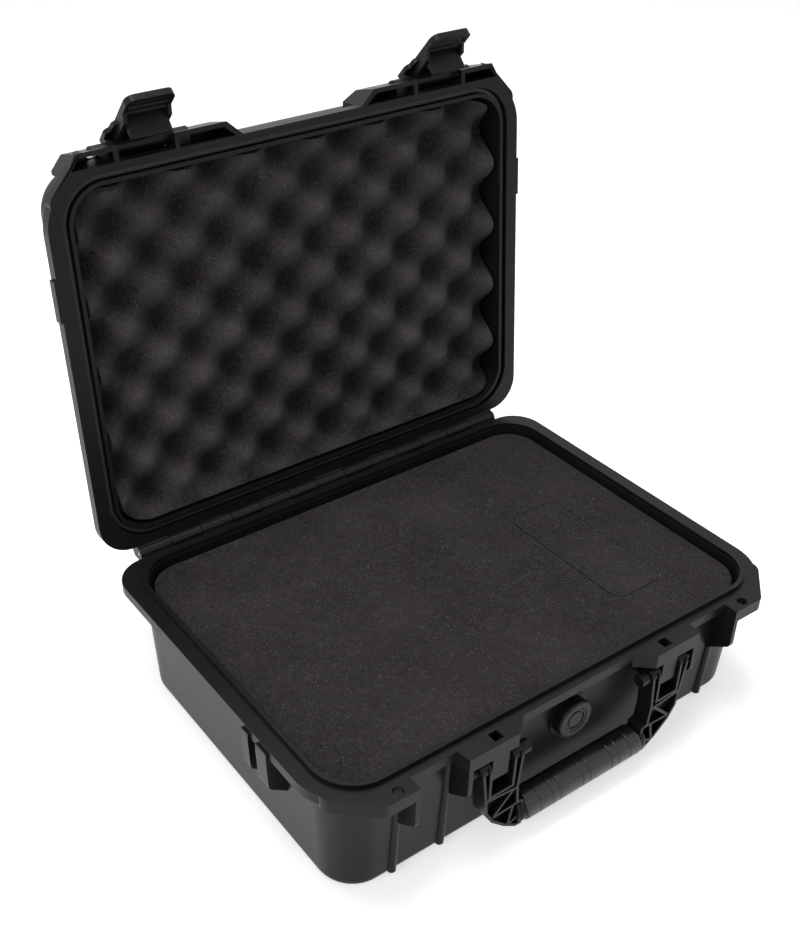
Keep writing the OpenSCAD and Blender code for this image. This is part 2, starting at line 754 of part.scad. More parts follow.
// Round cap with a ring groove and a raised button
module valve_cap() {
    face = 6.2;
    color(trim_col) at_vent(seat_y - 0.3) rotate_extrude() difference() {
        polygon(concat([[0, face - 0.6], [cap_r - 5.2, face - 0.6], [cap_r - 4.6, face]],
            arc([cap_r - 1.6, face - 1.6], 1.6, 90, 0, 4),
            [[cap_r, 0], [cap_r - 1.8, 0], [cap_r - 1.8, 3.3], [0, 3.3]]));
        translate([5.6, face - 1.4]) square([1, 4]);
    }
}

module valve_nut() {
    color(trim_col) at_vent(nut_face + nut_t) difference() {
        cylinder(r = nut_r, h = nut_t, $fn = 6);
        translate([0, 0, -1]) cylinder(r = vent_r + run_gap, h = 6);
    }
}

// Porous disc seated on the mouth of the stem
module valve_membrane() {
    color([0.8, 0.8, 0.78]) at_vent(seat_y - 3.2) cylinder(r = vent_r, h = 0.3);
}

// ---------- foam ----------

// Half sizes of a straight-sided foam layer that fits the tub at height z
function foam_half(z) = [lean(hx - wall, base_h - z) - foam_gap,
                         lean(hy - wall, base_h - z) - foam_gap];

module foam_layer(z0, z1, inset_by = 0) {
    f = foam_half(z0) - [inset_by, inset_by];
    r = corner_r - wall - 2;
    translate([0, 0, z0]) linear_extrude(z1 - z0) round_rect(f.x, f.y, r);
}

// The die-cut microphone pocket: x range, y range and corner radius
pocket_x = [77, 118];
pocket_y = [-80, 24];
pocket_r = 9;

module pocket(grow) {
    w = pocket_x[1] - pocket_x[0];
    d = pocket_y[1] - pocket_y[0];
    translate([pocket_x[0] + w / 2, pocket_y[0] + d / 2])
        round_rect(w / 2 + grow, d / 2 + grow, pocket_r + grow);
}

module foam_floor() {
    color(foam_col) foam_layer(floor_t + foam_gap, foam_mid_z, 0.7 * (edge_r - wall));
}

module foam_middle() {
    color(foam_col) foam_layer(foam_mid_z + 0.3, foam_cut_z);
}

module foam_top() {
    color(foam_col) difference() {
        foam_layer(foam_cut_z + 0.3, foam_top_z);
        translate([0, 0, foam_cut_z]) linear_extrude(60) pocket(0.3);
        // room for the vent's nut
        at_vent(inner_y + 6) cylinder(r = 11, h = 10);
    }
}

module foam_plug() {
    color(foam_col) translate([0, 0, foam_cut_z + 0.3])
        linear_extrude(foam_top_z - foam_cut_z - 0.3) pocket(0);
}

// Egg-crate foam: crests at the lid's mouth, flat back against its roof
crate_nx = 30;
crate_ny = 22;
crate_phase = [11, 3];                       // centre of one pit
crate_in = tongue_in + tongue_gap + lip_t;
crate_half = [hx - crate_in - draft * lid_h / base_h - foam_gap,
              hy - crate_in - draft * lid_h / base_h - foam_gap];
crate_corner = corner_r - crate_in;
crate_low = lid_z0 + 2.2;
crate_chamfer = 5;
crate_back = lid_top - wall - foam_gap;

// Half width of the rounded outline at depth y
function crate_w(y) = let (over = max(0, abs(y) - (crate_half.y - crate_corner)))
    crate_half.x - crate_corner + sqrt(max(0, pow(crate_corner, 2) - over * over));

function crate_z(x, y) = crate_low + crate_depth / 2 * (1 +
    cos(180 * (x - crate_phase.x) / crate_px) * cos(180 * (y - crate_phase.y) / crate_py));

module lid_foam() {
    rows = [for (j = [0:crate_ny]) -crate_half.y * cos(180 * j / crate_ny) * 0.25
        + 0.75 * crate_half.y * (2 * j / crate_ny - 1)];
    front = [for (y = rows, i = [0:crate_nx]) let (x = crate_w(y) * (2 * i / crate_nx - 1))
        [x, y, crate_z(x, y)]];
    nx = crate_nx + 1;
    last = crate_ny * nx;
    // edge of the grid, taken once round
    ring = concat([for (i = [0:crate_nx]) i], [for (j = [1:crate_ny]) j * nx + crate_nx],
        [for (i = [crate_nx - 1:-1:0]) last + i], [for (j = [crate_ny - 1:-1:1]) j * nx]);
    n = len(front);
    m = len(ring);
    // the back edge is chamfered to clear the lid's inner radius
    edge = [for (k = ring) [front[k].x, front[k].y, crate_back - crate_chamfer]];
    back = [for (p = edge) [p.x * (1 - crate_chamfer / crate_half.x),
        p.y * (1 - crate_chamfer / crate_half.y), crate_back]];
    cells = [for (j = [0:crate_ny - 1], i = [0:crate_nx - 1]) j * nx + i];
    next = function (k) (k + 1) % m;
    faces = concat(
        [for (a = cells) [a, a + 1, a + nx + 1]],
        [for (a = cells) [a, a + nx + 1, a + nx]],
        [for (k = [0:m - 1]) [ring[next(k)], ring[k], n + k]],
        [for (k = [0:m - 1]) [ring[next(k)], n + k, n + next(k)]],
        [for (k = [0:m - 1]) [n + next(k), n + k, n + m + k]],
        [for (k = [0:m - 1]) [n + next(k), n + m + k, n + m + next(k)]],
        [for (k = [0:m - 1]) [n + 2 * m, n + m + next(k), n + m + k]]);
    color(foam_col) lid_open()
        polyhedron(concat(front, edge, back, [[0, 0, crate_back]]), faces, convexity = 8);
}

base_shell();
lid_shell();
hinge_rod();
lid_seal();
latch_left();
latch_right();
latch_pin_left();
latch_pin_right();
handle_frame();
handle_grip();
handle_pin_left();
handle_pin_right();
valve_body();
valve_cap();
valve_ring();
valve_nut();
valve_membrane();
foam_floor();
foam_middle();
foam_top();
foam_plug();
lid_foam();
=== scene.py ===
import json
from math import cos, pi, radians, sin, sqrt

import bmesh
import bpy
from bpy.props import FloatProperty, FloatVectorProperty, PointerProperty
from mathutils import Matrix, Vector


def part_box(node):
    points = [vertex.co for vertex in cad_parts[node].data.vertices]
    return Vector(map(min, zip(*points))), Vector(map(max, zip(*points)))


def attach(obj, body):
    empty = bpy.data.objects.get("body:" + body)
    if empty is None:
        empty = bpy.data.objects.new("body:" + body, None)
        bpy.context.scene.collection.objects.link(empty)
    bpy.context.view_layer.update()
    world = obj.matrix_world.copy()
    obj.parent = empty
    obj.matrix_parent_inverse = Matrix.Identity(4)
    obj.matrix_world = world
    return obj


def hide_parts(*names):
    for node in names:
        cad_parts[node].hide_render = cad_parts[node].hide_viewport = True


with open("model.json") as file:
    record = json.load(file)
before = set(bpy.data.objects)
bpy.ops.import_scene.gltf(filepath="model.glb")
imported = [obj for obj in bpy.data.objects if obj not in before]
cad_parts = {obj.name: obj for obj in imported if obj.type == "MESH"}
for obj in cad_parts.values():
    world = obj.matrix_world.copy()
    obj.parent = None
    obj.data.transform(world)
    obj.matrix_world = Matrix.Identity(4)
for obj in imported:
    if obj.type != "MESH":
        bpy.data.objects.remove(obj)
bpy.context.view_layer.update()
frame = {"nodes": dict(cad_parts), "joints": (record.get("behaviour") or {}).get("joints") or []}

bl_info = {
    "name": "Microphone case",
    "version": (1, 0, 0),
    "blender": (4, 5, 0),
    "location": "View3D > Sidebar > Case",
    "description": "Builds an open carrying case for microphones around its packed model",
    "category": "Object",
}

MM = 0.001
PHOTO = (800, 932)                  # the photo's width and height in pixels
PHOTO_AXIS = 340                    # pixel column that the camera's axis meets
FOCAL = 1269.82                     # focal length in the photo's pixels
CAMERA_PLACE = (-0.425112, -0.488644, 0.599229)
CAMERA_PITCH, CAMERA_YAW = 0.5878855, 0.6116864    # down from level, right of +Y
FLOOR_HALF = 6                      # half the side of the studio floor
FLOOR_DROP = 0.2 * MM               # how far it lies below the case
SKY_LIGHT = 0.35                    # strength of the world on the object
CRATE_PHASE = (11 * MM, 3 * MM)     # centre of one pit of the egg-crate, lid shut
CRATE_GRID = (128, 90)              # faces of the egg-crate across and front to back

joints = {joint["name"]: joint for joint in frame["joints"]}
HINGE = Vector(joints["lid_hinge"]["pos_m"])
OPEN_ANGLE = radians(-joints["lid_hinge"]["range_deg"][0])
SHUT = (Matrix.Translation(HINGE) @ Matrix.Rotation(OPEN_ANGLE, 4, "X")
        @ Matrix.Translation(-HINGE))
FLANGE_FRONT = -125 * MM            # front edge of both flanges


# ---------- sizes and colours ----------


def length(name, text, default):
    return FloatProperty(name=name, description=text, default=default, min=0, precision=5,
                         unit="LENGTH", subtype="DISTANCE")


def colour(name, text, default):
    return FloatVectorProperty(name=name, description=text, default=default, size=3, min=0,
                               max=1, subtype="COLOR")


class CaseSizes(bpy.types.PropertyGroup):
    shell_edge: length("Shell edge", "Radius on the edges of the two shells", 0.5 * MM)
    trim_edge: length("Trim edge", "Radius on the edges of latches and handle", 0.45 * MM)
    grip_edge: length("Grip edge", "Radius on the lips of the grip's grooves", 0.3 * MM)
    foam_edge: length("Foam edge", "Radius along the cut edges of the foam", 0.9 * MM)
    vent_edge: length("Vent edge", "Radius on the edges of the vent cap", 0.3 * MM)
    rod_edge: length("Rod edge", "Radius on the ends of the hinge rod", 0.25 * MM)
    latch_pin_edge: length("Latch pin edge", "Radius on the latch pins' ends", 0.3 * MM)
    handle_pin_edge: length("Handle pin edge", "Radius on the handle pins' ends", 0.4 * MM)
    seal_edge: length("Seal edge", "Radius on the edges of the seal cord", 0.7 * MM)
    crate_edge: length("Crate edge", "Radius round the egg-crate's outline", 1.2 * MM)
    foam_corner: length("Foam corner", "Corner radius of the base foam", 22.5 * MM)
    plug_corner: length("Plug corner", "Corner radius of the foam plug", 9 * MM)
    crate_corner: length("Crate corner", "Corner radius of the lid foam", 19 * MM)
    seal_corner: length("Seal corner", "Outer corner radius of the seal cord", 28.3 * MM)
    plug_gap: length("Plug gap", "Cut left round the foam plug", 0.25 * MM)
    crate_pitch_x: length("Crate pitch across", "Half pitch of the egg-crate, across", 24 * MM)
    crate_pitch_y: length("Crate pitch back", "Half pitch of the egg-crate, front to back",
                          22.5 * MM)
    crate_depth: length("Crate depth", "Depth of an egg-crate pit below its crests", 17 * MM)
    crate_rim: length("Crate rim", "Width in which the pits fade out beside the hinge", 16 * MM)
    housing_out: length("Housing reach", "How far the lid's housings stand out in full", 6.4 * MM)
    housing_lean: FloatProperty(name="Housing lean", default=0.19, min=0,
                                description="Lean of the housings' front faces per height")
    seal_width: length("Seal width", "Width of the seal cord", 3.2 * MM)


class CaseColours(bpy.types.PropertyGroup):
    shell: colour("Shell", "Black moulded plastic of the shells", (0.0075, 0.0075, 0.0079))
    trim: colour("Trim", "Black plastic of latches and handle", (0.007, 0.007, 0.0073))
    grip: colour("Grip", "Soft sleeve of the handle", (0.011, 0.011, 0.0114))
    foam: colour("Foam", "Flat foam in the base", (0.019, 0.0168, 0.0186))
    crate: colour("Egg-crate", "Foam in the lid", (0.0315, 0.0288, 0.0315))
    speck: colour("Speck", "Pale specks in the foam", (0.2, 0.195, 0.205))
    steel: colour("Steel", "Hinge rod and latch pins", (0.5, 0.5, 0.52))
    seal: colour("Seal", "Rubber cord in the lid", (0.016, 0.016, 0.017))
    film: colour("Film", "Porous disc of the vent", (0.75, 0.75, 0.72))
    floor: colour("Floor", "Studio floor", (0.84, 0.84, 0.84))
    lift: colour("Floor lift", "Added to the floor where it shows as background", (0.58, 0.58, 0.58))


def sizes():
    return bpy.context.scene.case_sizes


def colours():
    return bpy.context.scene.case_colours


# ---------- shader maths ----------


class Level:
    """A socket that can be used in an expression. Each operator adds its Math node."""

    def __init__(self, tree, socket):
        self.tree = tree
        self.socket = socket

    def maths(self, operation, *values, clamp=False):
        node = self.tree.nodes.new("ShaderNodeMath")
        node.operation = operation
        node.use_clamp = clamp
        for slot, value in zip(node.inputs, values):
            plug(self.tree, value, slot)
        return Level(self.tree, node.outputs[0])

    def __add__(self, other):
        return self.maths("ADD", self, other)

    __radd__ = __add__

    def __sub__(self, other):
        return self.maths("SUBTRACT", self, other)

    def __rsub__(self, other):
        return self.maths("SUBTRACT", other, self)

    def __mul__(self, other):
        return self.maths("MULTIPLY", self, other)

    __rmul__ = __mul__

    def highest(self, other):
        return self.maths("MAXIMUM", self, other)

    def lowest(self, other):
        return self.maths("MINIMUM", self, other)

    def root(self):
        return self.maths("SQRT", self)

    def cosine(self):
        return self.maths("COSINE", self)

    def step(self, low, high):
        """0 below low, 1 above high and a straight ramp between them."""
        return self.maths("MULTIPLY", self - low, 1 / (high - low), clamp=True)


def plug(tree, value, slot):
    """Links a Level to a socket, or sets a plain value on it."""
    if isinstance(value, Level):
        tree.links.new(value.socket, slot)
    else:
        slot.default_value = value


class Finish:
    """A procedural material on one Principled surface."""

    def __init__(self, name, **constants):
        self.material = bpy.data.materials.new(name)
        self.material.use_nodes = True
        self.tree = self.material.node_tree
        self.surface = self.tree.nodes["Principled BSDF"]
        for socket, value in constants.items():
            self.put(socket.replace("_", " "), value)
        self.place = self.node("TexCoord", output="Object")

    def node(self, kind, settings=None, inputs=None, output=0):
        """Adds any other node: its settings first, then the values or links of its sockets."""
        made = self.tree.nodes.new("ShaderNode" + kind)
        for name, value in (settings or {}).items():
            setattr(made, name, value)
        for slot, value in (inputs or {}).items():
            plug(self.tree, value, made.inputs[slot])
        return Level(self.tree, made.outputs[output])

    def put(self, socket, value):
        if socket == "Base Color" and not isinstance(value, Level):
            value = (*value, 1)
        plug(self.tree, value, self.surface.inputs[socket])

    def noise(self, size, detail=2.0, roughness=0.5):
        """Soft noise about 0.5, its lumps of the given size in metres."""
        return self.node("TexNoise", {}, {"Vector": self.place, "Scale": 1 / size,
                                          "Detail": detail, "Roughness": roughness})

    def cells(self, size, output="Distance"):
        """Cells of about the given size: distance to the nearest point, or a random colour."""
        return self.node("TexVoronoi", {}, {"Vector": self.place, "Scale": 1 / size}, output)

    def mix(self, factor, first, second):
        """A colour between two, by a factor."""
        first, second = (c if isinstance(c, Level) else (*c, 1) for c in (first, second))
        return self.node("Mix", {"data_type": "RGBA"}, {0: factor, 6: first, 7: second}, 2)

    def axes(self):
        """The three object coordinates of a point."""
        return [self.node("SeparateXYZ", {}, {"Vector": self.place}, k) for k in range(3)]

    def relief(self, height, distance, strength=1.0):
        return self.node("Bump", {}, {"Strength": strength, "Distance": distance,
                                      "Height": height})


def scaled(shade, factor):
    """A colour made darker or lighter."""
    return tuple(min(1, c * factor) for c in shade)


def moulded_plastic(name, shade, roughness=0.35):
    """Black plastic from a lightly textured mould: satin, with faint flow marks and fingering."""
    finish = Finish(name, IOR=1.5, Specular_IOR_Level=0.15)
    grain = finish.noise(0.45 * MM, 2)
    flow = finish.noise(38 * MM, 3, 0.55)
    smudge = finish.noise(9 * MM, 4, 0.6)
    finish.put("Base Color", finish.mix(flow.step(0.35, 0.65), scaled(shade, 0.88),
                                        scaled(shade, 1.16)))
    finish.put("Roughness", roughness + 0.1 * (smudge - 0.5) + 0.06 * (grain - 0.5))
    finish.put("Normal", finish.relief(grain + 0.5 * finish.noise(1.6 * MM, 2), 0.035 * MM,
                                       0.55))
    return finish.material


def soft_sleeve(name, shade):
    """Rubbery sleeve, rubbed smoother along its length."""
    finish = Finish(name, IOR=1.48)
    grain = finish.noise(0.3 * MM, 2)
    rub = finish.noise(14 * MM, 3)
    finish.put("Base Color", finish.mix(rub.step(0.3, 0.7), scaled(shade, 0.92),
                                        scaled(shade, 1.12)))
    finish.put("Roughness", 0.3 + 0.12 * (rub - 0.5))
    finish.put("Normal", finish.relief(grain, 0.02 * MM, 0.5))
    return finish.material


def drawn_steel(name, shade):
    """Bright rod with fine marks round it."""
    finish = Finish(name, Metallic=1.0)
    marks = finish.noise(0.25 * MM, 3)
    tone = finish.noise(6 * MM, 3)
    finish.put("Base Color", finish.mix(tone.step(0.3, 0.7), scaled(shade, 0.85), shade))
    finish.put("Roughness", 0.28 + 0.14 * marks)
    finish.put("Normal", finish.relief(marks, 0.01 * MM, 0.4))
    return finish.material


def cord_rubber(name, shade):
    """Soft matt rubber."""
    finish = Finish(name, Roughness=0.62)
    tone = finish.noise(5 * MM, 3)
    finish.put("Base Color", finish.mix(tone, scaled(shade, 0.8), scaled(shade, 1.25)))
    finish.put("Normal", finish.relief(finish.noise(0.4 * MM, 2), 0.03 * MM, 0.6))
    return finish.material


def vent_film(name, shade):
    """Pale porous film with fine fibres."""
    finish = Finish(name, Roughness=0.8)
    fibre = finish.noise(0.5 * MM, 5)
    finish.put("Base Color", finish.mix(fibre.step(0.3, 0.7), scaled(shade, 0.8), shade))
    finish.put("Normal", finish.relief(fibre, 0.03 * MM))
    return finish.material


def open_cell_foam(name, shade, speck, cuts=(), painted_pit_shade=None):
    """Open-cell foam: dark pores, cell walls that catch the light as pale specks, the fine
    lines of any die cuts that run over it, and painted shade that darkens its pits."""
    finish = Finish(name, Roughness=0.92, Specular_IOR_Level=0.25)
    pores = finish.noise(1.3 * MM, 5, 0.75)
    clumps = finish.noise(4 * MM, 4, 0.65)
    cloud = finish.noise(55 * MM, 3, 0.5)
    tone = 0.32 + 0.8 * pores + 0.38 * clumps + 0.45 * (cloud - 0.5)
    # painted shade: the colour is darkened in the egg-crate's pits, where less light falls
    if painted_pit_shade is not None:
        tone = tone - 0.24 * painted_pit_shade(finish)
    dark = finish.mix(tone.step(0.7, 1.3), scaled(shade, 0.15), scaled(shade, 2.1))
    cell = finish.cells(1.1 * MM)
    rare = finish.cells(1.1 * MM, "Color")
    picked = finish.node("SeparateColor", {}, {"Color": rare}, 0).step(0.4, 1.0)
    spots = (1 - cell.step(0.14, 0.34)) * picked * finish.noise(9 * MM, 2).step(0.3, 0.55)
    tint = finish.node("SeparateColor", {}, {"Color": rare}, 1).step(0.55, 1.0)
    warm = finish.mix(tint * 0.35, dark, (shade[0] * 1.6, shade[1] * 0.9, shade[2] * 1.15))
    toned = finish.mix(spots * 0.7, warm, speck)
    height = pores + 0.6 * clumps
    if cuts:
        x, y, _ = finish.axes()
        line = None
        for cut in cuts:
            near = cut(x, y)
            line = near if line is None else line.highest(near)
        broken = finish.noise(7 * MM, 4, 0.7).step(0.4, 0.56)
        line = line * broken
        toned = finish.mix(line * 0.8, toned, scaled(shade, 0.16))
        height = height - 2.2 * line
    finish.put("Base Color", toned)
    finish.put("Normal", finish.relief(height, 0.4 * MM, 0.8))
    return finish.material


def straight_cut(start, end, width=0.5 * MM):
    """Mask of a knife line between two points of the foam's face."""
    start, end = Vector(start) * MM, Vector(end) * MM
    run = end - start
    along = run.normalized()

    def mask(x, y):
        s = (x - start.x) * along.x + (y - start.y) * along.y
        s = s.highest(0.0).lowest(run.length)
        dx = x - start.x - s * along.x
        dy = y - start.y - s * along.y
        return 1 - (dx * dx + dy * dy).root().step(0.25 * width, width)

    return mask


# ---------- modelling ----------


def new_piece(name, bm, material, body, smooth=30, replaces=()):
    """Makes a finished piece of a bmesh, riding on a body. Its flat faces shade as flat."""
    mesh = bpy.data.meshes.new(name)
    bm.to_mesh(mesh)
    bm.free()
    piece = bpy.data.objects.new(name, mesh)
    bpy.context.scene.collection.objects.link(piece)
    mesh.materials.append(material)
    mesh.shade_smooth()
    mesh.set_sharp_from_angle(angle=radians(smooth))
    even = piece.modifiers.new("even_normals", "WEIGHTED_NORMAL")
    even.keep_sharp = True
    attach(piece, body)
    if replaces:
        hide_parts(*replaces)
    return piece


def paint(node, material):
    """Gives a CAD node that stays its material."""
    shown = frame["nodes"][node]
    shown.data.materials.clear()
    shown.data.materials.append(material)


def rounded_copy(node, radius, segments=2, corner=32):
    """Copy of a CAD node with its facets merged and its sharp edges rounded over."""
    bm = bmesh.new()
    bm.from_mesh(frame["nodes"][node].data)
    bmesh.ops.remove_doubles(bm, verts=bm.verts, dist=0.002 * MM)
    bmesh.ops.dissolve_limit(bm, angle_limit=radians(0.4), verts=bm.verts, edges=bm.edges,
                             use_dissolve_boundaries=False)
    if radius:
        sharp = [e for e in bm.edges
                 if len(e.link_faces) == 2 and e.calc_face_angle(0) > radians(corner)]
        bmesh.ops.bevel(bm, geom=sharp, offset=radius, offset_type="OFFSET",
                        affect="EDGES", segments=segments, profile=0.5, material=-1,
                        clamp_overlap=True, loop_slide=True)
    return bm


def rounded_plate(bm, centre, half, radius, z, segments=12):
    """One flat face with rounded corners."""
    corners = bmesh.ops.create_grid(bm, x_segments=1, y_segments=1, size=1)["verts"]
    bmesh.ops.scale(bm, verts=corners, vec=(half[0], half[1], 1))
    bmesh.ops.translate(bm, verts=corners, vec=(centre[0], centre[1], z))
    made = bmesh.ops.bevel(bm, geom=corners, offset=radius, offset_type="OFFSET",
                           affect="VERTICES", segments=segments, profile=0.5, material=-1,
                           clamp_overlap=False)
    return list({face for vert in made["verts"] for face in vert.link_faces})


def plate_ring(bm, outer, inner):
    """The band between two flat plates, whose faces it takes away."""
    edges = [e for face in (outer, inner) for e in face.edges]
    bmesh.ops.delete(bm, geom=[outer, inner], context="FACES_ONLY")
    return bmesh.ops.bridge_loops(bm, edges=edges)["faces"]


def thicken(bm, faces, depth):
    """Pulls flat faces down into a slab."""
    made = bmesh.ops.extrude_face_region(bm, geom=faces, use_keep_orig=True)
    low = [g for g in made["geom"] if isinstance(g, bmesh.types.BMVert)]
    bmesh.ops.translate(bm, verts=low, vec=(0, 0, -depth))
    bmesh.ops.recalc_face_normals(bm, faces=bm.faces)


def round_over(bm, radius, segments=3, above=60):
    """Rounds every edge that turns by more than an angle."""
    sharp = [e for e in bm.edges
             if len(e.link_faces) == 2 and e.calc_face_angle(0) > radians(above)]
    bmesh.ops.bevel(bm, geom=sharp, offset=radius, offset_type="OFFSET", affect="EDGES",
                    segments=segments, profile=0.5, material=-1, clamp_overlap=True)


def shut_box(node):
    """Box of a lid node with the lid turned shut."""
    points = [SHUT @ v.co for v in frame["nodes"][node].data.vertices]
    return (Vector(map(min, *points)), Vector(map(max, *points)))


def lean_housings(bm):
    """Leans the front faces of the lid's housings back, as far as a mould needs."""
    opened = SHUT.inverted()
    for vert in bm.verts:
        point = SHUT @ vert.co
        out = min(1, (FLANGE_FRONT - point.y) / sizes().housing_out)
        if out > 0:
            point.y += sizes().housing_lean * (point.z - HINGE.z) * out
            vert.co = opened @ point


def arc(centre, radius, start, end, steps=5):
    """Points of an arc between two angles in degrees."""
    turns = [radians(start + (end - start) * k / steps) for k in range(steps + 1)]
    return [(centre[0] + radius * cos(a), centre[1] + radius * sin(a)) for a in turns]


def corner_plate(side):
    """Chamfered plate round one front corner of the lid, between its housing and its flange.
    Its outline is in millimetres, lid shut, and runs clear of the base's tongue."""
    outline = [*arc((148, -129), 5.5, -90, -48), *arc((163, -108), 9, -48, 0),
               (168.5, -96), (164.4, -106.4), (160, -112.4), (160, -118), (158, -124.9),
               (152.6, -131.9)]
    low = HINGE.z + 0.25 * MM
    bm = bmesh.new()
    face = bm.faces.new([bm.verts.new((side * x * MM, y * MM, low)) for x, y in outline])
    tall = 7.4 * MM
    thicken(bm, [face], -tall)
    round_over(bm, sizes().shell_edge, 2, 35)
    open_up(bm)
    return bm


def hinge_lip():
    """Thin strip that closes the gap between the lid's rear edge and the base's knuckles."""
    width, deep, tall = 305 * MM, 0.85 * MM, 3 * MM
    rear, above_hinge = 126.4 * MM, 2.1 * MM
    bm = bmesh.new()
    bmesh.ops.create_cube(bm, size=1)
    bmesh.ops.scale(bm, verts=bm.verts, vec=(width, deep, tall))
    bmesh.ops.translate(bm, verts=bm.verts, vec=(0, rear, HINGE.z + above_hinge))
    open_up(bm)
    return bm


def open_up(bm):
    """Turns what was drawn with the lid shut to where it stands open."""
    bmesh.ops.rotate(bm, verts=bm.verts, cent=HINGE,
                     matrix=Matrix.Rotation(-OPEN_ANGLE, 3, "X"))


# ---------- pieces ----------


class CaseOperator:
    """What all the operators share"""
    bl_options = {"REGISTER", "UNDO"}


class CASE_OT_base(CaseOperator, bpy.types.Operator):
    """Rounds the base shell's edges and gives it its moulded finish"""
    bl_idname = "case.base"
    bl_label = "Base shell"

    def execute(self, context):
        plastic = moulded_plastic("base_plastic", colours().shell)
        bm = rounded_copy("base_shell", sizes().shell_edge)
        new_piece("base_shell_moulding", bm, plastic, "base",
                  replaces=("base_shell",))
        return {"FINISHED"}


class CASE_OT_lid(CaseOperator, bpy.types.Operator):
    """Rounds the lid shell's edges and gives it its moulded finish"""
    bl_idname = "case.lid"
    bl_label = "Lid shell"

    def execute(self, context):
        plastic = moulded_plastic("lid_plastic", colours().shell)
        bm = rounded_copy("lid_shell", sizes().shell_edge)
        lean_housings(bm)
        new_piece("lid_shell_moulding", bm, plastic, "lid",
                  replaces=("lid_shell",))
        new_piece("lid_hinge_lip", hinge_lip(), plastic, "lid")
        for name, side in (("left", -1), ("right", 1)):
            new_piece(f"lid_corner_{name}", corner_plate(side), plastic, "lid")
        return {"FINISHED"}


class CASE_OT_hinge(CaseOperator, bpy.types.Operator):
    """Finishes the hinge rod and lays the seal cord in the lid's groove"""
    bl_idname = "case.hinge"
    bl_label = "Hinge rod and seal"

    def execute(self, context):
        steel = drawn_steel("rod_steel", colours().steel)
        new_piece("hinge_rod_steel", rounded_copy("hinge_rod", sizes().rod_edge), steel,
                  "base", replaces=("hinge_rod",))
        low, high = shut_box("lid_seal")
        half = (high - low) / 2
        width = sizes().seal_width
        radius = sizes().seal_corner
        bm = bmesh.new()
        outer = rounded_plate(bm, (0, 0), half, radius, high.z)[0]
        inner = rounded_plate(bm, (0, 0), half - Vector((width, width, 0)), radius - width,
                              high.z)[0]
        thicken(bm, plate_ring(bm, outer, inner), high.z - low.z)
        round_over(bm, sizes().seal_edge)
        open_up(bm)
        new_piece("lid_seal_cord", bm, cord_rubber("seal_rubber", colours().seal), "lid",
                  replaces=("lid_seal",))
        return {"FINISHED"}


class CASE_OT_latches(CaseOperator, bpy.types.Operator):
    """Rounds the two latches and their pins"""
    bl_idname = "case.latches"
    bl_label = "Latches"

    def execute(self, context):
        plastic = moulded_plastic("latch_plastic", colours().trim, 0.32)
        steel = drawn_steel("pin_steel", colours().steel)
        for side in ("left", "right"):
            new_piece(f"latch_{side}_moulding",
                      rounded_copy(f"latch_{side}", sizes().trim_edge), plastic,
                      f"latch_{side}", replaces=(f"latch_{side}",))
            new_piece(f"latch_pin_{side}_steel",
                      rounded_copy(f"latch_pin_{side}", sizes().latch_pin_edge), steel,
                      "lid", replaces=(f"latch_pin_{side}",))
        return {"FINISHED"}


class CASE_OT_handle(CaseOperator, bpy.types.Operator):
    """Rounds the handle's frame, sleeve and pins"""
    bl_idname = "case.handle"
    bl_label = "Handle"

    def execute(self, context):
        plastic = moulded_plastic("handle_plastic", colours().trim, 0.3)
        sleeve = soft_sleeve("grip_sleeve", colours().grip)
        new_piece("handle_frame_moulding", rounded_copy("handle_frame", sizes().trim_edge),
                  plastic, "handle", replaces=("handle_frame",))
        new_piece("handle_grip_sleeve", rounded_copy("handle_grip", sizes().grip_edge),
                  sleeve, "handle", replaces=("handle_grip",))
        for side in ("left", "right"):
            new_piece(f"handle_pin_{side}_rod",
                      rounded_copy(f"handle_pin_{side}", sizes().handle_pin_edge), plastic,
                      "base", replaces=(f"handle_pin_{side}",))
        return {"FINISHED"}


class CASE_OT_valve(CaseOperator, bpy.types.Operator):
    """Finishes the pressure vent's cap, body, nut, ring and film"""
    bl_idname = "case.valve"
    bl_label = "Pressure vent"

    def execute(self, context):
        plastic = moulded_plastic("vent_plastic", colours().trim, 0.3)
        new_piece("valve_cap_moulding",
                  rounded_copy("valve_cap", sizes().vent_edge, corner=25), plastic,
                  "base", replaces=("valve_cap",))
        paint("valve_body", plastic)
        paint("valve_nut", plastic)
        paint("valve_ring", cord_rubber("vent_rubber", colours().seal))
        paint("valve_membrane", vent_film("vent_film", colours().film))
        return {"FINISHED"}


